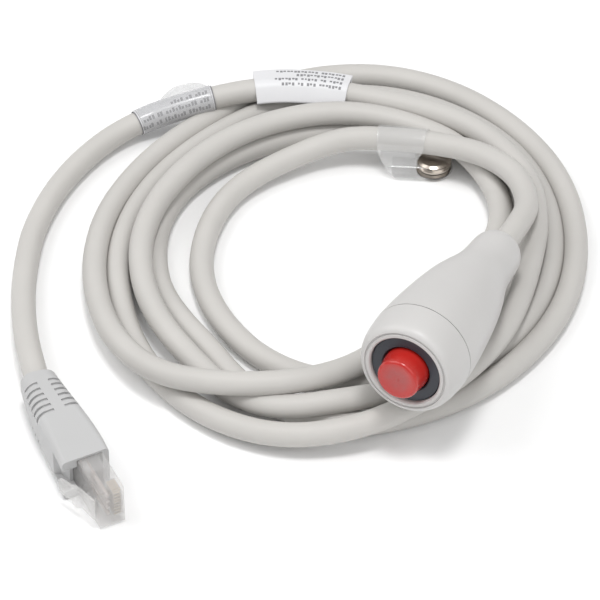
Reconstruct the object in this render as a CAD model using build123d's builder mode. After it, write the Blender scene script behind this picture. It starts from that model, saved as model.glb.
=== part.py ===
"""Call pendant: a one-button handset on a loosely coiled cord with a moulded 8P8C plug.

The frame has its origin at the centre of the handset's box. +Z is up, and the handset's axis
lies in the YZ plane: its button faces -Y and its neck +Y. The handset is nose-up by TILT,
because its cone lies on its side on the coil. Everything else lies on the plane z = FLOOR.
Sizes are in millimetres.
"""
from build123d import *
from math import asin, atan2, cos, degrees, pi, radians, sin, tan
import os

# ---- driving dimensions -------------------------------------------------------------------
FLOOR = -25.53            # the plane that the coil, the plug and the clip lie on
CORD_D = 6.2              # round jacket
CORD_R = CORD_D / 2

TILT = radians(8.3)         # nose-up tilt of the handset
HEAD_R = 13.15            # largest radius, at the seam between the cap and the body
LIP_R = 9.15              # opening in the front cap
SEAM = 9.3                # stations along the axis, counted from the plane of the lip
NECK = 44.0
LENGTH = 57.5
WALL = 1.9

BUTTON_R = 5.35           # at its face
BUTTON_BASE_R = 5.8       # at its base: its side is drafted
BUTTON_OUT = 4.2          # how far the button stands out of the lip's plane
TRAVEL = 2.5              # how far it can be pressed
BARREL_R = 7.6            # the switch's barrel, which passes through the cap's panel
PANEL = (3.6, 5.6)        # stations of the panel's two faces
SHELF = (11.6, 12.4)      # the inner shelf that the return spring stands on

COIL_TOP = 11.8           # height of the coil
COIL_CENTRE = (-42.0, 26.2)
COIL_OUT = (63.8, 70.8)   # half axes of its outline
COIL_HOLE_CENTRE = (-43.0, 24.7)
COIL_HOLE = (33.0, 36.0)

PLUG = (-61.2, -72.3)     # the middle of the boot's mouth
PLUG_TURN = -37.5         # heading of the plug's nose in the XY plane
PLUG_HALF = 6.5           # half of the boot's width, which stands upright here
BOOT_LENGTH = 32.8        # measured along its middle, from the mouth
BOOT_FLEX = 26.0          # from here the boot bends with the cord
BOOT_FLEX_R = 38.0
SLOT_PITCH = 2.1          # between the flex slots
HOUSING_W = 11.7          # the 8P8C body's width, with a face HOUSING_H high
HOUSING_H = 6.6
HOUSING_REAR = -9.0       # how far it reaches into the boot
HOUSING_NOSE = 12.5       # and out of it
BLADE_PITCH = 1.02

CLIP = (-43.5, 66.2)      # the middle of the strap's loop round the cord
CLIP_TURN = degrees(atan2(4.9, 12.1))
CLIP_CORD_H = 9.5         # height of the cord inside the loop
SNAP_ALONG = 8.0          # from the loop's middle to the snap, along the cord
SNAP_SIDE = -2.3          # and across it
SNAP_R = 4.7


def height(h):
    """The z of a point h above the plane that the cord lies on."""
    return FLOOR + h


# ---- the handset's own axis ---------------------------------------------------------------
AXIS = Vector(0, cos(TILT), -sin(TILT))          # from the lip to the neck
LIP = Vector(0, -26.3, height(27.1))
SECTION = Plane(origin=LIP, x_dir=AXIS, z_dir=(1, 0, 0))   # local x is the station, y the radius
SPIN = Axis(LIP, AXIS)


def station(s):
    """The plane across the handset's axis, s behind the lip."""
    return Plane(origin=LIP + AXIS * s, x_dir=(1, 0, 0), z_dir=AXIS)


def turned(*outline):
    """A ring turned about the handset's axis from a closed outline of (station, radius)."""
    with BuildPart() as ring:
        with BuildSketch(SECTION):
            with BuildLine():
                Polyline(*outline, close=True)
            make_face()
        revolve(axis=SPIN)
    return ring


# ---- front cap ----------------------------------------------------------------------------
with BuildPart() as front_cap:
    with BuildSketch(SECTION):
        with BuildLine():
            Polyline((SEAM, HEAD_R), (SEAM, 11.6), (14.0, 11.6), (14.0, 10.7), (PANEL[1], 10.9))
            Polyline((PANEL[1], 10.9), (PANEL[1], BARREL_R + 0.1), (PANEL[0], BARREL_R + 0.1))
            Polyline((PANEL[0], BARREL_R + 0.1), (PANEL[0], LIP_R), (0.35, LIP_R), (0, LIP_R + 0.3))
            Polyline((0, LIP_R + 0.3), (0, 10.15), (0.45, 10.25), (0.45, 10.55))
            Line((0.45, 10.55), (0.1, 10.75))
            Bezier((0.1, 10.75), (0.25, 12.2), (2.2, 13.0), (SEAM, HEAD_R))
        make_face()
    revolve(axis=SPIN)

# ---- handset body: a cone that draws in to the neck, open inside ---------------------------
with BuildPart() as handset_body:
    with BuildSketch(SECTION):
        with BuildLine():
            Spline((SEAM + 0.25, HEAD_R), (20, 12.4), (30, 11.05), (37, 9.6), (NECK, 7.6),
                   (49, 6.9), (53, 6.7), tangents=((1, -0.02), (1, -0.08)))
            Spline((53, 6.7), (56, 6.0), (LENGTH, 4.6), tangents=((1, -0.08), (0.4, -1)))
            Polyline((LENGTH, 4.6), (LENGTH, CORD_R + 0.05), (NECK + 0.8, CORD_R + 0.05))
            Polyline((NECK + 0.8, CORD_R + 0.05), (NECK + 0.8, 4.9), (NECK - 3, 5.2), (30, 11.0 - WALL))
            Polyline((30, 11.0 - WALL), (20, 12.35 - WALL), (14.6, 10.6), (14.6, 11.7))
            Polyline((14.6, 11.7), (SEAM + 0.25, 11.7), (SEAM + 0.25, HEAD_R))
        make_face()
    revolve(axis=SPIN)

# ---- push-button switch -------------------------------------------------------------------
FLANGE = 0.9              # station of the barrel's visible face
switch_barrel = turned(
    (FLANGE, 6.4), (FLANGE, 8.75), (FLANGE + 0.3, LIP_R - 0.1), (PANEL[0], LIP_R - 0.1),
    (PANEL[0], BARREL_R), (16.2, BARREL_R), (16.2, 6.6), (SHELF[1], 6.6), (SHELF[1], 2.3),
    (SHELF[0], 2.3), (SHELF[0], BUTTON_BASE_R + 0.3), (FLANGE + 0.3, BUTTON_BASE_R + 0.3),
)

# The button's face is dished, as part of a ball whose centre is on the axis.
DISH = 0.45
DISH_RIM = BUTTON_R - 1.3
DISH_R = (DISH_RIM ** 2 + DISH ** 2) / (2 * DISH)
DISH_HALF = degrees(asin(DISH_RIM / DISH_R))
with BuildPart() as button:
    with BuildSketch(SECTION):
        with BuildLine():
            Polyline((-BUTTON_OUT + DISH, 0), (7.4, 0), (7.4, BUTTON_BASE_R), (0.5, BUTTON_BASE_R),
                     (-BUTTON_OUT + 0.8, BUTTON_R))
            ThreePointArc((-BUTTON_OUT + 0.8, BUTTON_R), (-BUTTON_OUT + 0.22, BUTTON_R - 0.25),
                          (-BUTTON_OUT, BUTTON_R - 0.9))
            Line((-BUTTON_OUT, BUTTON_R - 0.9), (-BUTTON_OUT, DISH_RIM))
            CenterArc((-BUTTON_OUT + DISH - DISH_R, 0), DISH_R, 0, DISH_HALF)
        make_face()
    revolve(axis=SPIN)

plunger = turned((7.4, 0), (7.4, 1.9), (13.2, 1.9), (13.2, 0))
contact_bridge = turned((SHELF[1] + 0.1, 1.9), (SHELF[1] + 0.1, 4.4), (13.1, 4.4), (13.1, 1.9))
lock_washer = turned((5.6, 7.75), (5.6, 9.9), (6.3, 9.9), (6.3, 7.75))

with BuildPart() as mounting_nut:
    with BuildSketch(station(6.3)):
        RegularPolygon(10.5, 6)
        Circle(BARREL_R + 0.05, mode=Mode.SUBTRACT)
    extrude(amount=2.6)
    chamfer(mounting_nut.faces().sort_by(Axis.Y)[-1].outer_wire().edges(), 0.35)

SPRING_WIRE = 0.25
SPRING_R = 3.1
SPRING_END = (7.4 + SPRING_WIRE + 0.35, SHELF[0] - SPRING_WIRE - 0.1)
with BuildPart() as return_spring:
    with BuildLine() as coil_line:
        Helix(pitch=(SPRING_END[1] - SPRING_END[0]) / 3.5, height=SPRING_END[1] - SPRING_END[0],
              radius=SPRING_R, center=station(SPRING_END[0]).origin, direction=AXIS)
    with BuildSketch(Plane(origin=coil_line.line @ 0, z_dir=coil_line.line % 0)):
        Circle(SPRING_WIRE)
    sweep(is_frenet=True)

# The base closes the barrel and carries the two fixed contacts.
TAIL_SIDE = 3.3
BASE = (16.25, 18.4)
with BuildPart() as switch_base:
    with BuildSketch(station(BASE[0])):
        Circle(BARREL_R)
        with Locations((TAIL_SIDE, 0), (-TAIL_SIDE, 0)):
            Rectangle(0.65, 1.85, mode=Mode.SUBTRACT)
    extrude(amount=BASE[1] - BASE[0])

with BuildPart() as fixed_contacts:
    for side in (-1, 1):
        with BuildSketch(station(15.72)):
            with Locations((side * (TAIL_SIDE + 0.2), 0)):
                Rectangle(1.6, 2.4)
        extrude(amount=0.45)
        with BuildSketch(station(16.1)):
            with Locations((side * TAIL_SIDE, 0)):
                Rectangle(0.55, 1.75)
        extrude(amount=6.2)

# ---- inside the neck: conductors, crimped ferrule, jacket ----------------------------------
WIRE_R = 0.55
FERRULE = (NECK - 4.0, NECK + 0.6)


def on_axis(s, side, up=0.0):
    """A point at station s, side to the right of the axis and up above it."""
    return LIP + AXIS * s + Vector(side, 0, 0) + Vector(0, sin(TILT), cos(TILT)) * up


with BuildPart() as handset_wires:
    for side in (-1, 1):
        with BuildLine() as wire_line:
            FilletPolyline(on_axis(22.4, side * TAIL_SIDE), on_axis(29, side * 3.3, 0.4),
                           on_axis(35, side * 1.6, 0.4), on_axis(39.2, side * 0.8), radius=3.0)
        with BuildSketch(Plane(origin=wire_line.line @ 0, z_dir=wire_line.line % 0)):
            Circle(WIRE_R)
        sweep(path=wire_line.line)

cord_ferrule = turned((FERRULE[0], CORD_R), (FERRULE[0], 4.3), (FERRULE[1] - 0.6, 4.3),
                      (FERRULE[1] - 0.6, 4.7), (FERRULE[1], 4.7), (FERRULE[1], CORD_R))
cord_in_neck = turned((39.3, 0), (39.3, CORD_R), (LENGTH, CORD_R), (LENGTH, 0))

# ---- the cord -----------------------------------------------------------------------------
# The coil: a loose winding of five turns, as one closed ring with the winding's outline.
CLIP_PLANE = Plane(origin=(CLIP[0], CLIP[1], FLOOR), x_dir=(cos(radians(CLIP_TURN)),
                   sin(radians(CLIP_TURN)), 0), z_dir=(0, 0, 1))
with BuildPart() as cord_coil:
    with BuildSketch(Plane.XY.offset(FLOOR)):
        with Locations(COIL_CENTRE):
            Ellipse(*COIL_OUT)
        with Locations(COIL_HOLE_CENTRE):
            Ellipse(*COIL_HOLE, mode=Mode.SUBTRACT)
    extrude(amount=COIL_TOP)
    # room under the innermost turn for the strap's tabs and the snap
    with BuildSketch(CLIP_PLANE):
        with Locations((3, -7)):
            Rectangle(24, 24)
    extrude(amount=6.4, mode=Mode.SUBTRACT)

# Plug frame: x towards the nose, y up (the plug's width), z towards the latch.
PLUG_DIR = Vector(cos(radians(PLUG_TURN)), sin(radians(PLUG_TURN)), 0)
PLUG_PLANE = Plane(origin=(PLUG[0], PLUG[1], height(PLUG_HALF)), x_dir=PLUG_DIR,
                   z_dir=PLUG_DIR.cross(Vector(0, 0, 1)))


def boot_plane(s):
    """The plane across the boot, s behind its mouth; its local x is up and its y the latch side."""
    turn = max(0.0, s - BOOT_FLEX) / BOOT_FLEX_R
    x = -min(s, BOOT_FLEX) - BOOT_FLEX_R * sin(turn)
    z = -BOOT_FLEX_R * (1 - cos(turn))
    return Plane(origin=PLUG_PLANE.from_local_coords((x, 0, z)), x_dir=PLUG_PLANE.y_dir,
                 z_dir=PLUG_PLANE.x_dir * cos(turn) + PLUG_PLANE.z_dir * sin(turn))


# The route's points, from the neck's mouth to the coil, and from the coil to the boot.
NECK_MOUTH = LIP + AXIS * LENGTH
TAIL_ROUTE = [
    tuple(NECK_MOUTH),
    tuple(NECK_MOUTH + AXIS * 10),
    (-1.5, 52.5, height(16.2)),
    (-11.0, 64.6, height(14.3)),
    (-27.0, 69.2, height(11.6)),
]
BOOT_TAIL = boot_plane(BOOT_LENGTH)
LEAD_ROUTE = [
    (-98.7, 55.0, height(8.0)),
    (-114.0, 41.8, height(3.5)),
    (-118.8, 21.5, height(3.15)),
    (-117.2, 0.5, height(3.15)),
    (-110.6, -17.0, height(3.2)),
    (-103.2, -30.6, height(4.6)),
    tuple(BOOT_TAIL.origin - BOOT_TAIL.z_dir * 11),
    tuple(BOOT_TAIL.origin),
]


def route_radii(route):
    """One arc radius for each corner: 0.45 of the shorter run over the tangent of half the turn."""
    points = [Vector(*p) for p in route]
    radii = []
    for before, corner, after in zip(points, points[1:], points[2:]):
        run_in = corner - before
        run_out = after - corner
        half_turn = radians(run_in.get_angle(run_out)) / 2
        radii.append(0.45 * min(run_in.length, run_out.length) / tan(half_turn))
    return radii


def cord_tube(name, route):
    """A round cord along straight runs joined by tangent arcs."""
    radii = route_radii(route)
    with BuildPart() as tube:
        with BuildLine() as line:
            FilletPolyline(*route, radius=radii)
        with BuildSketch(Plane(origin=line.line @ 0, z_dir=line.line % 0)):
            Circle(CORD_R)
        sweep(path=line.line)
    length = sum(edge.length for edge in line.edges())
    ideal = pi * CORD_R ** 2 * length
    print(name, "length", round(length, 1), "radii", [round(r, 1) for r in radii],
          "volume ratio", round(tube.part.volume / ideal, 4))
    return tube


handset_tail = cord_tube("handset_tail", TAIL_ROUTE)
plug_lead = cord_tube("plug_lead", LEAD_ROUTE)

# ---- labels -------------------------------------------------------------------------------
# A wrap-round label on the lead, with a clear film over it that ends in a short tail.
LABEL_FROM = Vector(*LEAD_ROUTE[0])
LABEL_DIR = (Vector(*LEAD_ROUTE[1]) - LABEL_FROM).normalized()
LABEL_PLANE = Plane(origin=LABEL_FROM - LABEL_DIR * 8.5, x_dir=LABEL_DIR.cross(Vector(0, 0, 1)),
                    z_dir=LABEL_DIR)
LABEL_LENGTH = 19.5
PAPER = 0.15

with BuildPart() as sleeve_label:
    with BuildSketch(LABEL_PLANE):
        Circle(CORD_R + PAPER)
        Circle(CORD_R, mode=Mode.SUBTRACT)
    extrude(amount=LABEL_LENGTH)

with BuildPart() as sleeve_film:
    with BuildSketch(LABEL_PLANE):
        Circle(CORD_R + 2 * PAPER)
        with Locations((1.9, 2.9)):
            Rectangle(0.3, 3.4)
        Circle(CORD_R + PAPER, mode=Mode.SUBTRACT)
    extrude(amount=LABEL_LENGTH)

# A flag label folded over the lead where it lies on the coil.
FLAG_FROM = Vector(-86.4, 65.0, height(9.0))
FLAG_DIR = Vector(22.1, 9.4, 0).normalized()
FLAG_LENGTH = 24.0
FLAG_THICK = 0.3
FLAG_PLANE = Plane(origin=FLAG_FROM, x_dir=Vector(0, 0, 1).cross(FLAG_DIR), z_dir=FLAG_DIR)
with BuildPart() as flag_label:
    with BuildSketch(FLAG_PLANE):
        Circle(CORD_R + FLAG_THICK)
        Circle(CORD_R, mode=Mode.SUBTRACT)
        with Locations((0, -CORD_R - 1)):
            Rectangle(4 * CORD_R, 2.4, mode=Mode.SUBTRACT)
        with Locations((2.9, CORD_R - 0.35)):
            Rectangle(5.8, FLAG_THICK, rotation=-9)
    extrude(amount=FLAG_LENGTH)

# ---- cord clip: a clear strap closed by a press snap ---------------------------------------
LOOP_R = 3.3
STRAP = 0.5
LOOP_WIDTH = 13.0
LOWER_TAB = 0.5           # heights of the undersides of the two tabs
UPPER_TAB = 3.75
LEG = -6.2                # where the strap comes down beside the snap
ACROSS = Plane(origin=CLIP_PLANE.origin - CLIP_PLANE.x_dir * LOOP_WIDTH / 2,
               x_dir=CLIP_PLANE.y_dir, z_dir=CLIP_PLANE.x_dir)
SNAP_PLANE = Plane(origin=CLIP_PLANE.origin + CLIP_PLANE.x_dir * SNAP_ALONG
                   + CLIP_PLANE.y_dir * SNAP_SIDE, x_dir=CLIP_PLANE.x_dir, z_dir=(0, 0, 1))

with BuildPart() as clip_strap:
    with BuildSketch(ACROSS):
        with Locations((0, CLIP_CORD_H)):
            Circle(LOOP_R + STRAP)
            Circle(LOOP_R, mode=Mode.SUBTRACT)
        with BuildLine():
            Polyline((-LOOP_R - STRAP, CLIP_CORD_H), (-LOOP_R, CLIP_CORD_H), (LEG, UPPER_TAB),
                     (LEG - STRAP, UPPER_TAB), close=True)
        make_face()
        with BuildLine():
            Polyline((LEG, UPPER_TAB + 0.1), (LEG - STRAP, UPPER_TAB + 0.1), (LEG - STRAP, LOWER_TAB),
                     (LEG, LOWER_TAB), close=True)
        make_face()
    extrude(amount=LOOP_WIDTH)
    for level in (LOWER_TAB, UPPER_TAB):
        with BuildSketch(CLIP_PLANE.offset(level)):
            with Locations((SNAP_ALONG / 2 - 0.6, -2.6)):
                RectangleRounded(LOOP_WIDTH + 7.0, 9.8, 3.6)
            with Locations((SNAP_ALONG, SNAP_SIDE)):
                Circle(1.6, mode=Mode.SUBTRACT)
        extrude(amount=STRAP)
    # the loop's underside is cut away over the snap, so the snap can lift
    with BuildSketch(SNAP_PLANE.offset(UPPER_TAB + STRAP)):
        Circle(SNAP_R + 0.2)
    extrude(amount=6.35 - UPPER_TAB - STRAP, mode=Mode.SUBTRACT)
    # and the leg is notched round the snap between the tabs
    with BuildSketch(SNAP_PLANE.offset(LOWER_TAB + STRAP)):
        Circle(SNAP_R + 0.2)
    extrude(amount=UPPER_TAB - LOWER_TAB - STRAP, mode=Mode.SUBTRACT)


def snap_turned(*outline):
    """A ring turned about the snap's upright axis from a closed outline of (radius, height)."""
    side = Plane(origin=SNAP_PLANE.origin, x_dir=SNAP_PLANE.x_dir, z_dir=SNAP_PLANE.y_dir * -1)
    with BuildPart() as ring:
        with BuildSketch(side):
            with BuildLine():
                Polyline(*outline, close=True)
            make_face()
        revolve(axis=Axis(SNAP_PLANE.origin, (0, 0, 1)))
    return ring


snap_eyelet = snap_turned((0, 0), (3.7, 0), (4.4, 0.45), (1.5, 0.45), (1.5, 1.5), (0, 1.5))
snap_stud = snap_turned((1.55, 1.05), (SNAP_R - 0.3, 1.05), (SNAP_R, 1.4), (SNAP_R - 0.4, 2.0),
                        (2.1, 2.2), (2.25, 2.8), (1.9, 3.1), (1.0, 3.1), (1.0, 1.6), (1.55, 1.6))
snap_socket = snap_turned((2.4, 2.3), (SNAP_R - 0.4, 2.3), (SNAP_R, 2.7), (SNAP_R, 3.2),
                          (SNAP_R - 0.5, 3.7), (1.55, 3.7), (1.55, 3.2), (2.4, 3.2))
snap_cap = snap_turned((0, 3.25), (1.5, 3.25), (1.5, 4.3), (SNAP_R - 0.2, 4.3), (SNAP_R, 4.5),
                       (3.9, 4.95), (2.2, 5.15), (0, 5.2))

# ---- plug ---------------------------------------------------------------------------------
def plug_cross(x):
    """The plane across the plug at x; its local x is the plug's width and its y the latch side."""
    return Plane(origin=PLUG_PLANE.from_local_coords((x, 0, 0)), x_dir=PLUG_PLANE.y_dir,
                 z_dir=PLUG_PLANE.x_dir)


def plug_side(y):
    """The plane along the plug at width y; its local x is the plug's x and its y the latch side."""
    return Plane(origin=PLUG_PLANE.from_local_coords((0, y, 0)), x_dir=PLUG_PLANE.x_dir,
                 z_dir=PLUG_PLANE.y_dir * -1)


HOOD = 7.2                # how far the boot's hood stands up on the latch side
BACK = -5.0               # the boot's contact side
with BuildPart() as cord_in_plug:
    with BuildLine() as boot_line:
        Line(boot_plane(0.05 - HOUSING_REAR).origin, boot_plane(BOOT_FLEX).origin)
        ThreePointArc(boot_plane(BOOT_FLEX).origin, boot_plane((BOOT_FLEX + BOOT_LENGTH) / 2).origin,
                      boot_plane(BOOT_LENGTH).origin)
    with BuildSketch(plug_cross(HOUSING_REAR - 0.05)):
        Circle(CORD_R)
    sweep(path=boot_line.line)

with BuildPart() as plug_boot:
    with BuildSketch(boot_plane(BOOT_LENGTH)):
        RectangleRounded(9.2, 9.0, 3.4)
    with BuildSketch(boot_plane(BOOT_FLEX)):
        with Locations((0, 0.1)):
            RectangleRounded(10.6, 10.2, 2.9)
    with BuildSketch(boot_plane(15.0)):
        with Locations((0, 0.4)):
            RectangleRounded(12.0, 11.7, 2.2)
    with BuildSketch(boot_plane(0)):
        with Locations((0, (HOOD + BACK) / 2)):
            RectangleRounded(2 * PLUG_HALF, HOOD - BACK, 1.2)
    loft(ruled=False)
    with BuildSketch(plug_cross(0)):
        Rectangle(HOUSING_W + 0.1, HOUSING_H + 0.1)
    extrude(amount=HOUSING_REAR - 0.1, mode=Mode.SUBTRACT)
    add(cord_in_plug.part, mode=Mode.SUBTRACT)
    # the channel that leaves the latch free
    with BuildSketch(plug_side(0)):
        with BuildLine():
            Polyline((0.5, 3.35), (0.5, HOOD + 1), (-8.0, HOOD + 1), (-6.0, 5.2), (-3.0, 4.2), (-3.0, 3.35),
                     close=True)
        make_face()
    extrude(amount=3.7, both=True, mode=Mode.SUBTRACT)
    # flex slots round all four shoulders of the tail, either side of a spine
    for step in range(6):
        s = BOOT_LENGTH - 4.4 - SLOT_PITCH * step
        for face in (-1, 1):
            for column in (-1, 1):
                with BuildSketch(boot_plane(s)):
                    with Locations((face * 5.2, column * 4.6)):
                        Rectangle(5.0, 6.4)
                    with Locations((0, 0.07 * step)):
                        RectangleRounded(9.1 + 0.33 * step, 8.9 + 0.33 * step, 2.7, mode=Mode.SUBTRACT)
                extrude(amount=0.45, both=True, mode=Mode.SUBTRACT)

with BuildPart() as plug_housing:
    with BuildSketch(plug_cross(HOUSING_REAR)):
        Rectangle(HOUSING_W, HOUSING_H)
    extrude(amount=HOUSING_NOSE - HOUSING_REAR)
    with BuildSketch(plug_cross(HOUSING_REAR)):
        Rectangle(HOUSING_W - 2.2, HOUSING_H - 1.8)
    extrude(amount=13.0, mode=Mode.SUBTRACT)
    # eight slots for the blades, open on the contact side and at the nose
    for blade in range(8):
        y = (blade - 3.5) * BLADE_PITCH
        with BuildSketch(plug_cross(7.2)):
            with Locations((y, -2.0)):
                Rectangle(0.44, 2.7)
        extrude(amount=4.8, mode=Mode.SUBTRACT)
    # bores for the conductors
    for wire in range(4):
        y = (2 * wire - 3) * BLADE_PITCH
        with BuildSketch(plug_cross(3.9)):
            with Locations((y, 0.45)):
                Circle(0.55)
        extrude(amount=7.6, mode=Mode.SUBTRACT)

with BuildPart() as plug_contacts:
    for blade in range(8):
        y = (blade - 3.5) * BLADE_PITCH
        with BuildSketch(plug_side(y)):
            with BuildLine():
                Polyline((7.5, -3.0), (11.2, -3.0), (11.8, -2.4), (11.8, -0.9), (7.5, -0.9), close=True)
            make_face()
        extrude(amount=0.16, both=True)

with BuildPart() as plug_wires:
    for wire in range(4):
        y = (2 * wire - 3) * BLADE_PITCH
        with BuildSketch(plug_cross(HOUSING_REAR + 0.05)):
            with Locations((y, 0.45)):
                Circle(0.48)
        extrude(amount=20.2)

with BuildPart() as plug_load_bar:
    with BuildSketch(plug_side(0)):
        Polygon((-1.0, 1.0), (2.6, 1.0), (2.6, 2.2), (0.2, 2.2), align=None)
    extrude(amount=(HOUSING_W - 2.6) / 2, both=True)

LATCH_PIVOT = (11.2, HOUSING_H / 2 + 0.75)
with BuildPart() as plug_latch:
    with BuildSketch(plug_side(0)):
        with BuildLine():
            Polyline((11.2, 3.5), (11.75, 4.05), (11.2, 4.6), (7.0, 5.4), (6.4, 6.6), (4.6, 6.9),
                     (0.5, 8.6), (0.35, 7.7), (4.2, 5.9), (10.4, 3.9), close=True)
        make_face()
    extrude(amount=3.1, both=True)
    # the finger end is narrower than the shoulders that lock in the socket
    for side in (-1, 1):
        with BuildSketch(plug_cross(0)):
            with Locations((side * 3.3, 7)):
                Rectangle(2.0, 6)
        extrude(amount=4.4, mode=Mode.SUBTRACT)

# ---- one file for each piece --------------------------------------------------------------
PIECES = {
    "front_cap": front_cap,
    "handset_body": handset_body,
    "switch_barrel": switch_barrel,
    "button": button,
    "plunger": plunger,
    "contact_bridge": contact_bridge,
    "return_spring": return_spring,
    "lock_washer": lock_washer,
    "mounting_nut": mounting_nut,
    "switch_base": switch_base,
    "fixed_contacts": fixed_contacts,
    "handset_wires": handset_wires,
    "cord_ferrule": cord_ferrule,
    "cord_in_neck": cord_in_neck,
    "handset_tail": handset_tail,
    "cord_coil": cord_coil,
    "plug_lead": plug_lead,
    "sleeve_label": sleeve_label,
    "sleeve_film": sleeve_film,
    "flag_label": flag_label,
    "clip_strap": clip_strap,
    "snap_eyelet": snap_eyelet,
    "snap_stud": snap_stud,
    "snap_socket": snap_socket,
    "snap_cap": snap_cap,
    "plug_boot": plug_boot,
    "plug_housing": plug_housing,
    "plug_contacts": plug_contacts,
    "plug_wires": plug_wires,
    "plug_load_bar": plug_load_bar,
    "plug_latch": plug_latch,
    "cord_in_plug": cord_in_plug,
}

os.makedirs("parts", exist_ok=True)
for name, piece in PIECES.items():
    piece.part.label = name
    export_step(piece.part, f"parts/{name}.step")
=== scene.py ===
"""Looks for the pendant call handset: one push button, a loose coil of cord, a modular plug."""
import math
from math import cos, pi, radians, sin

import bpy
import numpy as np
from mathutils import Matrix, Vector


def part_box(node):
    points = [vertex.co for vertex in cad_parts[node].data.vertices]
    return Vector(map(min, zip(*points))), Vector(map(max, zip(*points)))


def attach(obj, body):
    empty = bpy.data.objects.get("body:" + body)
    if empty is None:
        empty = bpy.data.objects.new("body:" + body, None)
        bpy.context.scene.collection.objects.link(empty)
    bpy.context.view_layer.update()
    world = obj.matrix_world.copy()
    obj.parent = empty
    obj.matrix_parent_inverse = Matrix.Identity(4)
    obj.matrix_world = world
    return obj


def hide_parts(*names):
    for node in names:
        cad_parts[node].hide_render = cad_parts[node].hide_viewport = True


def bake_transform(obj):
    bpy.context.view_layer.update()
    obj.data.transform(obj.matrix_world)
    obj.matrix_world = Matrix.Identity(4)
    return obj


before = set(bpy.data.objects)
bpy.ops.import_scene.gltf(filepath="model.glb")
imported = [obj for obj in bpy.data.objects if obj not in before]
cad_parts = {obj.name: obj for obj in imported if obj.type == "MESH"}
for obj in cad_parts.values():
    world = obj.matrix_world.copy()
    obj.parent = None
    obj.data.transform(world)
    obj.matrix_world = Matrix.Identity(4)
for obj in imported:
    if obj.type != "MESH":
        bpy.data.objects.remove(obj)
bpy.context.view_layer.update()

MM = 0.001
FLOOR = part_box("cord_coil")[0].z / MM       # lengths are in millimetres, unless they say metres
CORD_R = 3.1
TILT = radians(8.3)                         # how far the handset's nose points up
AXIS = Vector((0, cos(TILT), -sin(TILT)))   # from its button to its neck
LIP = Vector((0, -26.3, FLOOR + 27.1))      # the middle of the front cap's rim
FACE_OUT = 4.2                              # how far the button stands out of the rim
NECK_END = 57.5                             # from the rim to where the cord comes out


def metres(point):
    return Vector(point) * MM


def add(name, data):
    """Puts a new object with that data in the scene."""
    piece = bpy.data.objects.new(name, data)
    bpy.context.scene.collection.objects.link(piece)
    return piece


# ---- camera -------------------------------------------------------------------------------
AIM = Vector((-45.1, 8.5, FLOOR))
BACK = Vector((0.3144, -0.6334, 0.7071))    # from the aim to the camera, 45 degrees up
CAMERA_AWAY = 1000
camera_data = bpy.data.cameras.new("camera")
camera_data.sensor_width = 36
camera_data.lens = 237
camera_data.clip_start = 0.01               # metres, as is the next
camera_data.clip_end = 20
camera = add("camera", camera_data)
camera.location = metres(AIM + BACK * CAMERA_AWAY)
camera.rotation_mode = "QUATERNION"
camera.rotation_quaternion = BACK.to_track_quat("Z", "Y")
bpy.context.scene.camera = camera

# ---- the cord -----------------------------------------------------------------------------
# The tail starts at the neck's end, in line with it, and runs down to the coil.
TAIL = [
    tuple(LIP + AXIS * NECK_END),
    tuple(LIP + AXIS * (NECK_END + 10)),
    (-1.5, 52.5, FLOOR + 16.2),
    (-11.0, 64.6, FLOOR + 14.3),
    (-27.0, 69.2, FLOOR + 11.6),
]
# The lead leaves the coil, and its last two points are in line with the boot's end.
LEAD = [
    (-98.7, 55.0, FLOOR + 8.0),
    (-114.0, 41.8, FLOOR + 3.5),
    (-118.8, 21.5, FLOOR + 3.15),
    (-117.2, 0.5, FLOOR + 3.15),
    (-110.6, -17.0, FLOOR + 3.2),
    (-103.2, -30.6, FLOOR + 4.6),
    (-94.219, -43.730, FLOOR + 6.5),
    (-86.824, -51.873, FLOOR + 6.5),
]
# The coil's turns, every 30 degrees: how far they are from its centre and how high over the floor.
CENTRE = (-44.2, 25.7)
FIRST_BEARING = 105
STEP_BEARING = 15                           # half of the list's step, with smooth values between
REACH = [
    38, 34, 33.5, 33, 35, 39, 45.5, 48.5, 50, 51.5, 51.5, 54,
    45.5, 44, 44.5, 46.5, 46.5, 47, 60, 62, 60, 61.5, 60.5, 67,
    68.5, 63, 55, 59, 63, 66.5, 57.5, 41.5, 35, 36.5, 47.5, 49,
    46.5, 44.5, 44.5, 46.5, 50.5, 54, 59, 55.5, 54.5, 54.5, 61, 60.5,
    60, 56, 56, 54.5, 57, 64, 69, 62, 55, 50.5, 54, 54,
    52.5, 58,
]
RISE = [
    8, 3.5, 3, 3, 3, 3, 3, 3, 3, 3, 3, 3,
    3, 3, 3, 3, 3, 3, 3, 3, 3, 3, 3, 3,
    3, 3, 3, 3, 3.5, 8.5, 9, 9, 6, 3.5, 3.5, 8.5,
    4.5, 3, 4.5, 8, 7.5, 3, 5.5, 4.5, 3, 3, 3, 3,
    3, 3, 3, 3, 3, 3, 4, 9, 9, 9, 9, 9,
    9, 9,
]


def between(values, place):
    """A smooth value at a place between the listed ones."""
    i, t = int(place), place - int(place)
    a, b, c, d = (values[max(0, min(len(values) - 1, i + k))] for k in (-1, 0, 1, 2))
    return b + 0.5 * t * (c - a + t * (2 * a - 5 * b + 4 * c - d + t * (3 * (b - c) + d - a)))


def turns():
    """The coil's points, as listed."""
    points = []
    for step in range(2 * len(REACH) - 1):
        bearing = radians(FIRST_BEARING + STEP_BEARING * step)
        reach = between(REACH, step / 2)
        points.append((CENTRE[0] + reach * cos(bearing), CENTRE[1] + reach * sin(bearing),
                       FLOOR + between(RISE, step / 2)))
    return points


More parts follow.
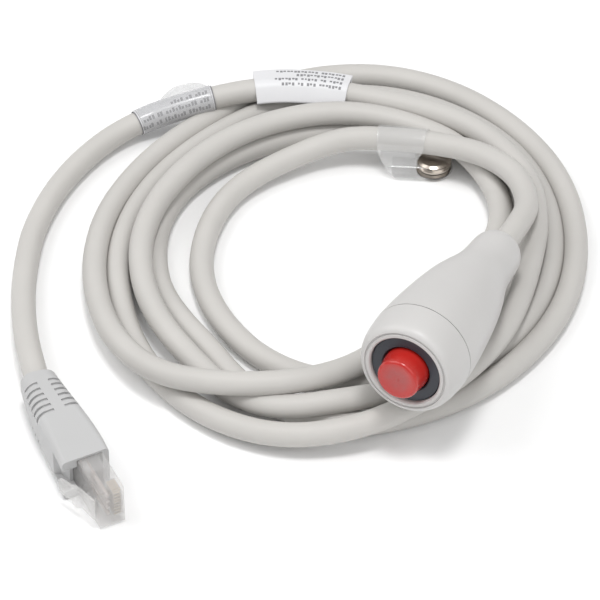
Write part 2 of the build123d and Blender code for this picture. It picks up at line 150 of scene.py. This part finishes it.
ROUNDS = 200
SAMPLES = 3                                 # places looked at for each of the cord's points
NEXT_TO = 7                                 # samples this near along the cord don't press each other
TOUCHING = 2 * CORD_R * 0.985               # turns press each other once their middles are nearer
PRESS = 0.175                               # share of the overlap that each of the two gives way
HOLD = 0.02                                 # share of the way back to its place in plan
SINK = 0.02                                 # millimetres down in each round
EVEN_OUT = 0.05                             # share of a height's difference from each neighbour's


def settled(points, fixed):
    """Lets the turns come to rest: they press each other apart and sink to the floor."""
    place = np.array(points, float)
    plan = place[:, :2].copy()
    count = len(place)
    weight = np.zeros((SAMPLES * (count - 2), count))
    for i in range(1, count - 1):
        for k in range(SAMPLES):
            t = k / SAMPLES
            shares = (0.5 * (1 - t) ** 2, 0.5 + t * (1 - t), 0.5 * t * t)
            weight[SAMPLES * (i - 1) + k, i - 1:i + 2] = shares
    norm = (weight ** 2).sum(1)[:, None]
    order = np.arange(len(weight))
    pairs = (order[None] - order[:, None]) > NEXT_TO
    free = np.ones((count, 1))
    free[fixed] = 0
    for _ in range(ROUNDS):
        sample = weight @ place
        apart = sample[:, None] - sample[None]
        length = np.linalg.norm(apart, axis=2)
        i, j = np.where(pairs & (length < TOUCHING))
        move = PRESS * ((TOUCHING / np.maximum(length[i, j], 1e-6) - 1)[:, None]) * apart[i, j]
        push = (weight[i] / norm[i]).T @ move - (weight[j] / norm[j]).T @ move
        place += push * free
        place[:, :2] += HOLD * (plan - place[:, :2]) * free
        place[:, 2:] -= SINK * free
        between_two = place[:-2, 2] + place[2:, 2] - 2 * place[1:-1, 2]
        place[1:-1, 2] += EVEN_OUT * between_two * free[1:-1, 0]
        place[:, 2] = np.where(free[:, 0] > 0, np.maximum(place[:, 2], FLOOR + CORD_R), place[:, 2])
    return place


route = TAIL + turns() + LEAD
route = settled(route, [0, 1] + list(range(len(route) - len(LEAD) + 1, len(route))))


def spline(name, points, radius):
    """A smooth round cord with those points as its control points."""
    data = bpy.data.curves.new(name, "CURVE")
    data.dimensions = "3D"
    data.resolution_u = 8
    line = data.splines.new("NURBS")
    line.points.add(len(points) - 1)
    for slot, point in zip(line.points, points):
        slot.co = (*metres(point), 1)
    line.order_u = 3
    line.use_endpoint_u = True
    data.bevel_depth = radius * MM
    data.bevel_resolution = 6
    data.use_fill_caps = True
    return add(name, data)


cord = spline("cord", route, CORD_R)


def centreline(piece):
    """The points that the cord's own line goes through, in millimetres."""
    bare = piece.data.copy()
    bare.bevel_depth = 0
    holder = bpy.data.objects.new("bare", bare)
    mesh = bpy.data.meshes.new_from_object(holder)
    points = np.array([v.co for v in mesh.vertices]) / MM
    bpy.data.objects.remove(holder)
    bpy.data.curves.remove(bare)
    bpy.data.meshes.remove(mesh)
    return points


LINE = centreline(cord)
ALONG = np.concatenate([[0], np.cumsum(np.linalg.norm(np.diff(LINE, axis=0), axis=1))])

# ---- materials ----------------------------------------------------------------------------
DRIFT_SCALE = 60                            # the noise of the colour, in cells a metre
SMEAR_SCALE = 180                           # that of the roughness
SCUFF_SCALE = 420                           # that of a worn patch
BUMP_DEPTH = 0.05
FULLY_WORN = 0.25                           # share of a worn patch's reach where the wear is full


def worn(nodes, links, where, tint, scuffs, middle, reach, colour):
    """Mixes in a worn patch round one point, as far as it reaches, broken up by scuffs."""
    away = nodes.new("ShaderNodeVectorMath")
    away.operation = "DISTANCE"
    away.inputs[1].default_value = metres(middle)
    links.new(where.outputs["Object"], away.inputs[0])
    fade = nodes.new("ShaderNodeMapRange")
    fade.interpolation_type = "SMOOTHSTEP"
    fade.inputs["From Min"].default_value = reach * MM
    fade.inputs["From Max"].default_value = FULLY_WORN * reach * MM
    links.new(away.outputs["Value"], fade.inputs["Value"])
    broken = nodes.new("ShaderNodeMath")
    broken.operation = "MULTIPLY"
    links.new(fade.outputs["Result"], broken.inputs[0])
    links.new(scuffs.outputs["Fac"], broken.inputs[1])
    mix = nodes.new("ShaderNodeMix")
    mix.data_type = "RGBA"
    sockets = [i for i in mix.inputs if i.type == "RGBA"]
    sockets[1].default_value = (*colour, 1)
    links.new(broken.outputs["Value"], mix.inputs[0])
    links.new(tint, sockets[0])
    return [o for o in mix.outputs if o.type == "RGBA"][0]


def material(name, colour, roughness, drift=0.04, rough_drift=0.05, grain=1800, bump=0.15,
             patch=None, sockets=None):
    """A Principled material with a fine colour drift, a roughness drift and a bump."""
    m = bpy.data.materials.new(name)
    m.use_nodes = True
    nodes, links = m.node_tree.nodes, m.node_tree.links
    shader = nodes["Principled BSDF"]
    where = nodes.new("ShaderNodeTexCoord")
    for socket, value in (sockets or {}).items():
        shader.inputs[socket].default_value = value

    def noise(scale, detail):
        n = nodes.new("ShaderNodeTexNoise")
        n.inputs["Scale"].default_value = scale
        n.inputs["Detail"].default_value = detail
        links.new(where.outputs["Object"], n.inputs["Vector"])
        return n

    cloud = noise(DRIFT_SCALE, 4)
    ramp = nodes.new("ShaderNodeValToRGB")
    ramp.color_ramp.elements[0].position = 0.3
    ramp.color_ramp.elements[1].position = 0.7
    ramp.color_ramp.elements[0].color = (*[c * (1 - drift) for c in colour], 1)
    ramp.color_ramp.elements[1].color = (*[min(1, c * (1 + drift * 0.6)) for c in colour], 1)
    links.new(cloud.outputs["Fac"], ramp.inputs["Fac"])
    tint = ramp.outputs["Color"]
    if patch:
        tint = worn(nodes, links, where, tint, noise(SCUFF_SCALE, 5), *patch)
    links.new(tint, shader.inputs["Base Color"])

    smear = noise(SMEAR_SCALE, 3)
    span = nodes.new("ShaderNodeMapRange")
    span.inputs["To Min"].default_value = roughness - rough_drift
    span.inputs["To Max"].default_value = roughness + rough_drift
    links.new(smear.outputs["Fac"], span.inputs["Value"])
    links.new(span.outputs["Result"], shader.inputs["Roughness"])

    relief = nodes.new("ShaderNodeBump")
    relief.inputs["Strength"].default_value = bump
    relief.inputs["Distance"].default_value = BUMP_DEPTH * MM
    links.new(noise(grain, 2).outputs["Fac"], relief.inputs["Height"])
    links.new(relief.outputs["Normal"], shader.inputs["Normal"])
    return m


FACE = LIP - AXIS * FACE_OUT                # the middle of the button's face
JACKET = material("jacket", (0.54, 0.525, 0.502), 0.5, drift=0.03, grain=900, bump=0.2,
                  sockets={"Specular IOR Level": 0.3})
SHELL = material("shell", (0.56, 0.55, 0.54), 0.4, drift=0.02, grain=2600, bump=0.12)
BOOT = material("boot", (0.49, 0.49, 0.49), 0.5, drift=0.02, grain=2200, bump=0.2)
RED = material("red", (0.48, 0.018, 0.013), 0.24, drift=0.1, patch=(FACE, 4.8, (0.28, 0.09, 0.09)),
               sockets={"Coat Weight": 0.4, "Coat Roughness": 0.12})
BLACK = material("black", (0.035, 0.042, 0.055), 0.45, drift=0.2)
NICKEL = material("nickel", (0.46, 0.41, 0.36), 0.25, sockets={"Metallic": 1.0})
STEEL = material("steel", (0.6, 0.6, 0.62), 0.3, sockets={"Metallic": 1.0})
BRASS = material("brass", (0.75, 0.55, 0.25), 0.3, sockets={"Metallic": 1.0})
GOLD = material("gold", (0.62, 0.46, 0.25), 0.3, sockets={"Metallic": 1.0})
CLEAR = material("clear", (0.72, 0.71, 0.70), 0.1,
                 sockets={"Alpha": 0.38, "IOR": 1.9, "Specular IOR Level": 1.0})
FILM = material("film", (0.58, 0.58, 0.59), 0.14, sockets={"Alpha": 0.26, "Specular IOR Level": 0.5})
VINYL = material("vinyl", (0.85, 0.85, 0.85), 0.12, rough_drift=0.02, grain=300,
                 sockets={"Alpha": 0.22, "IOR": 2.4, "Specular IOR Level": 1.0})
PAPER = material("paper", (0.71, 0.71, 0.725), 0.45)
INK = material("ink", (0.22, 0.22, 0.23), 0.5)
WIRE = material("wire", (0.36, 0.25, 0.20), 0.4)

LOOKS = {
    "front_cap": SHELL, "handset_body": SHELL, "switch_barrel": BLACK, "button": RED,
    "plunger": BLACK, "contact_bridge": BRASS, "return_spring": STEEL, "lock_washer": STEEL,
    "mounting_nut": NICKEL, "switch_base": BLACK, "fixed_contacts": BRASS, "handset_wires": WIRE,
    "cord_ferrule": NICKEL, "cord_in_neck": JACKET, "sleeve_label": PAPER, "sleeve_film": FILM,
    "flag_label": PAPER, "clip_strap": FILM, "snap_eyelet": NICKEL, "snap_stud": NICKEL,
    "snap_socket": NICKEL, "snap_cap": NICKEL, "plug_boot": BOOT, "plug_housing": CLEAR,
    "plug_contacts": GOLD, "plug_wires": WIRE, "plug_load_bar": CLEAR, "plug_latch": CLEAR,
    "cord_in_plug": JACKET, "handset_tail": JACKET, "cord_coil": JACKET, "plug_lead": JACKET,
}


def dress(piece, look):
    piece.data.materials.clear()
    piece.data.materials.append(look)


for name, look in LOOKS.items():
    dress(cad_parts[name], look)
dress(cord, JACKET)

# ---- sheets that go round the cord --------------------------------------------------------


def reached(point):
    """How far along the cord its line passes the point."""
    return float(ALONG[np.argmin(np.linalg.norm(LINE - np.array(point), axis=1))])


def on_cord(s, inward, up):
    """A point beside the cord's middle at s: towards the coil's centre, and up."""
    middle, before, after = (np.array([np.interp(s + d, ALONG, LINE[:, k]) for k in range(3)])
                             for d in (0, -1, 1))
    ahead = (after - before) / np.linalg.norm(after - before)
    level = np.cross((0, 0, 1), ahead)
    level /= np.linalg.norm(level)
    return middle + level * inward + np.cross(ahead, level) * up


def around(radius, angle):
    """A point round the cord's middle, 0 degrees being inward and 90 up."""
    return radius * cos(radians(angle)), radius * sin(radians(angle))


def arc(radius, first, last, steps, growth=0.0):
    """Points round the cord from one angle to another, the last one farther out by the growth."""
    return [around(radius + growth * k / steps, first + (last - first) * k / steps)
            for k in range(steps + 1)]


def sheet(name, grid, thick, looks, printed=None):
    """A thin sheet over a grid of points, with the second look where printed(row, column) is true."""
    rows, columns = len(grid), len(grid[0])
    mesh = bpy.data.meshes.new(name)
    corners = [(r * columns + c, r * columns + c + 1, (r + 1) * columns + c + 1, (r + 1) * columns + c)
               for r in range(rows - 1) for c in range(columns - 1)]
    mesh.from_pydata([metres(p) for row in grid for p in row], [], corners)
    for look in looks:
        mesh.materials.append(look)
    for k, face in enumerate(mesh.polygons):
        face.use_smooth = True
        if printed and printed(*divmod(k, columns - 1)):
            face.material_index = 1
    piece = add(name, mesh)
    body = piece.modifiers.new("thickness", "SOLIDIFY")
    body.thickness = thick * MM
    body.offset = 0
    return piece


INK_STEP = 0.16                              # length of a printed label's faces, as its marks need
MARK = 0.88                                  # from one mark to the next; they spell nothing
MARK_WIDTH = 0.72                            # share of that which has ink
SPACE = 0.8                                  # between groups, in marks
LOW = (0, 1, 1, 0, 1, 0, 0, 1, 1, 1, 0, 1)   # which marks are lower than the rest
LOW_HEIGHT = 0.7
SHIFT = 5                                    # how far each row starts on in that list


def printed_rows(rows, size, margin):
    """Rows of plain marks in groups: (the row's place across, how many marks in each group)."""
    def has_ink(along, across):
        for number, (place, groups) in enumerate(rows):
            tall = across - place
            if not 0 <= tall < size:
                continue
            start = margin
            for group in groups:
                mark = (along - start) / MARK
                if 0 <= mark < group:
                    low = LOW[(int(mark) + SHIFT * number) % len(LOW)]
                    return mark % 1 < MARK_WIDTH and (tall < LOW_HEIGHT * size or not low)
                start += (group + SPACE) * MARK
        return False
    return has_ink


def spaced(first, last, step):
    """Even places from the first to the last, about a step apart."""
    count = max(1, round(abs(last - first) / step))
    return [first + (last - first) * k / count for k in range(count + 1)]


def printed_label(name, start, end, path, thick, has_ink):
    """A label whose section round the cord is the path, from one place on the cord to another."""
    stations = spaced(start, end, INK_STEP)
    grid = [[on_cord(s, a, b) for a, b in path] for s in stations]
    across = np.concatenate([[0], np.cumsum([math.dist(p, q) for p, q in zip(path, path[1:])])])
    middles = (across[:-1] + across[1:]) / 2

    def printed(row, column):
        return has_ink((row + 0.5) * abs(end - start) / (len(stations) - 1), middles[column])
    return sheet(name, grid, thick, [PAPER, INK], printed)


# The flag label is folded over the cord: from its free edge on the far side over the top, down to a
# fold in front, and back under to the free edge.
FLAG_THICK = 0.16
FLAG_R = CORD_R + FLAG_THICK
FLAG_EDGE = np.array((-4.7, 2.4))            # the free edge, as (inward, up) from the cord's middle
FLAG_OVER = np.array((-0.2, FLAG_R))
FLAG_UNDER = np.array((-3.2, 0.9))
FOLD_OUT = 3.9                               # how far down and in front of the cord it is folded
FLAG_FOLD = np.array(around(FLAG_R, 45)) + around(FOLD_OUT, -45)
FLAG_ROWS = [(0.6, (7, 12)), (2.4, (14,)), (4.3, (4, 2, 5, 7)), (5.9, (7, 3, 2, 4))]
FLAG_ENDS = (reached((-64.3, 74.4, FLOOR + 9)), reached((-86.4, 65.0, FLOOR + 9)))
over = [tuple(FLAG_EDGE + (FLAG_OVER - FLAG_EDGE) * k / 20) for k in range(20)]
fold = [tuple(FLAG_FOLD + step) for step in ((-0.3, 0.3), (-0.05, -0.02), (-0.3, -0.28))]
under = [tuple(FLAG_UNDER + (FLAG_EDGE + (0.15, -0.22) - FLAG_UNDER) * k / 8) for k in range(1, 9)]
flag_path = over + arc(FLAG_R, 93.5, 45, 20) + fold + arc(FLAG_R, -72, -196, 30) + under
flag_ink = printed_rows(FLAG_ROWS, 0.95, 1.8)
flag = printed_label("label_flag", *FLAG_ENDS, flag_path, FLAG_THICK, flag_ink)

# The sleeve label, with a line round each end, and the clear film over it.
SLEEVE_THICK = 0.12
SLEEVE = (reached((-94.3, 58.4, FLOOR + 9)), reached((-110.7, 45.1, FLOOR + 4)))
SLEEVE_LENGTH = SLEEVE[1] - SLEEVE[0]
SLEEVE_ROWS = [(5.3, (7, 7, 2, 5)), (7.3, (3, 10, 2, 4)), (9.3, (4, 2, 4))]
END_LINE = 0.35
sleeve_marks = printed_rows(SLEEVE_ROWS, 1.15, 1.4)


def sleeve_ink(along, across):
    return not END_LINE < along < SLEEVE_LENGTH - END_LINE or sleeve_marks(along, across)


sleeve_path = arc(CORD_R + SLEEVE_THICK, -95, 268, 110, SLEEVE_THICK)
sleeve = printed_label("label_sleeve", *SLEEVE, sleeve_path, SLEEVE_THICK, sleeve_ink)

# The film goes round once, and its free edge stands up in a low arch along part of the sleeve.
FILM_THICK = 0.08
FILM_R = CORD_R + 0.38
FILM_START = 116                             # the angle where the free edge leaves the cord
FILM_INSET = 0.5
EDGE_OUT = np.array((-0.97, 2.3))            # how far the free edge stands out, as (inward, up)
ARCH_START = 0.05                            # the arch's place, in shares of the sleeve's length
ARCH_LENGTH = 0.58
FLAT = 0.02                                  # keeps the free edge off its root past the arch's ends
film_root = np.array(around(FILM_R, FILM_START))
film_grid = []
for s in spaced(SLEEVE[0] + FILM_INSET, SLEEVE[1] - FILM_INSET, 0.5):
    part = (s - SLEEVE[0]) / SLEEVE_LENGTH
    rise = max(FLAT, sin(pi * min(1, max(0, (part - ARCH_START) / ARCH_LENGTH)))) ** 0.6
    free_edge = [tuple(film_root + EDGE_OUT * rise * k / 5) for k in (5, 4, 3, 2, 1)]
    film_grid.append([on_cord(s, a, b) for a, b in free_edge + arc(FILM_R, FILM_START, -235, 60)])
film = sheet("label_film", film_grid, FILM_THICK, [FILM])

# The clear strap of the clip: a loop round one turn, drawn down to the snap's two tabs.
CLIP = (-43.5, 66.2)
CLIP_TURN = math.atan2(4.9, 12.1)            # the way the cord runs there
CLIP_X = np.array((cos(CLIP_TURN), sin(CLIP_TURN), 0))
CLIP_Y = np.array((-sin(CLIP_TURN), cos(CLIP_TURN), 0))
CORD_UP = 9.5                                # the cord's middle there, over the floor
CLIP_AT = reached((*CLIP, FLOOR + CORD_UP))
STRAP_THICK = 0.4
STRAP_STEPS = 30
LOOP_R = CORD_R + 0.35


def clip_point(u, front, high, grounded=1):
    """A point u along the clip, in front of it and high over the floor.

    At grounded 0 it follows the cord, at 1 it stands straight, and between them it does some of each.
    """
    standing = np.array((*CLIP, FLOOR)) + CLIP_X * u - CLIP_Y * front + np.array((0, 0, high))
    if grounded == 1:
        return standing
    return (1 - grounded) * on_cord(CLIP_AT - u, front, high - CORD_UP) + grounded * standing


def strap(name, rows):
    """A strap through rows of (front, height, how far it is grounded, left end, right end)."""
    grid = [[clip_point(left + (right - left) * k / STRAP_STEPS, front, high, grounded)
             for k in range(STRAP_STEPS + 1)] for front, high, grounded, left, right in rows]
    piece = sheet(name, grid, STRAP_THICK, [VINYL])
    smooth = piece.modifiers.new("smooth", "SUBSURF")
    smooth.levels = smooth.render_levels = 1
    return piece


def round_turn(angle):
    """The strap's row at that angle round the cord, narrower where it starts."""
    front, high = around(LOOP_R, angle)
    return front, CORD_UP + high, 0, -6.5, 4.0 if angle > -120 else 6.5


LOOP_START = [(1.2, 4.9, 1, -6.3, 2.9), (0.9, 5.3, 0.6, -6.4, 3.0)]
LOOP_DOWN = [(3.9, 8.2, 0.2, -6.5, 5.6), (4.6, 6.8, 0.6, -6.2, 4.4), (5.3, 5.2, 1, -5.5, 3.9),
             (5.9, 3.6, 1, -4.6, 3.7), (6.3, 2.2, 1, -3.7, 3.9), (6.6, 1.4, 1, -2.9, 4.8)]
LOOP_FOOT = [(7.0, 0.95, 1, -1.6, 7.6), (6.9, 0.75, 1, -1.8, 9.2), (5.8, 0.75, 1, -2.6, 11.4),
             (4.2, 0.75, 1, -3.0, 12.7), (2.2, 0.75, 1, -3.0, 13.2), (0.4, 0.75, 1, -3.0, 13.0),
             (-1.4, 0.75, 1, -3.0, 11.6)]
TAB_UP = 4.0
TAB_ROWS = [(front, TAB_UP, 1, left, right) for front, left, right in (
    (6.3, -3.4, 8.6), (5.6, -5.0, 10.6), (4.0, -5.8, 12.4), (2.0, -6.0, 13.0), (0.0, -6.0, 12.8),
    (-1.6, -5.6, 11.4))]
loop_round = [round_turn(angle) for angle in range(-110, -361, -12)]
loop = strap("clip_loop", LOOP_START + loop_round + LOOP_DOWN + LOOP_FOOT)
tab = strap("clip_tab", TAB_ROWS)

# ---- places in the frame ------------------------------------------------------------------
for piece, slot, node in ((cord, "cord_jacket", None), (flag, "label_white", "flag_label"),
                          (sleeve, "label_white", "sleeve_label"), (film, "clear_vinyl", "sleeve_film"),
                          (loop, "clear_vinyl", "clip_strap"), (tab, "clear_vinyl", "clip_strap")):
    if piece is not tab:
        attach(piece, "pendant")
    if node:
        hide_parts(node)
tuple(metres(clip_point(-4, 2.3, TAB_UP)))
tuple(metres(clip_point(3.2, 2.3, TAB_UP)))
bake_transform(tab)
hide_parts("handset_tail", "cord_coil", "plug_lead")

# ---- studio -------------------------------------------------------------------------------
FLOOR_REACH = 3000
BELOW = 0.05                                 # the floor is just clear of the cord
floor_corners = [metres((x * FLOOR_REACH, y * FLOOR_REACH, FLOOR - BELOW))
                 for x, y in ((-1, -1), (1, -1), (1, 1), (-1, 1))]
floor_mesh = bpy.data.meshes.new("floor")
floor_mesh.from_pydata(floor_corners, [], [(0, 1, 2, 3)])
floor = add("floor", floor_mesh)
dress(floor, material("sweep", (0.93, 0.93, 0.93), 0.6, drift=0.01))


def lamp(name, place, size, power):
    """A square white lamp that points at the aim; place and size are in metres, power in watts."""
    data = bpy.data.lights.new(name, "AREA")
    data.energy = power
    data.size = size
    light = add(name, data)
    light.location = place
    light.rotation_mode = "QUATERNION"
    light.rotation_quaternion = (Vector(place) - metres(AIM)).to_track_quat("Z", "Y")


lamp("top", (0.06, -0.1, 1.3), 0.3, 7.2)
lamp("key", (-0.8, -0.25, 0.95), 0.9, 6)
lamp("fill", (0.8, -0.5, 0.9), 1.1, 4)

world = bpy.data.worlds.new("world")
bpy.context.scene.world = world
world.use_nodes = True
world.node_tree.nodes["Background"].inputs["Color"].default_value = (1, 1, 1, 1)
world.node_tree.nodes["Background"].inputs["Strength"].default_value = 0.5
bpy.context.scene.view_settings.view_transform = "Standard"
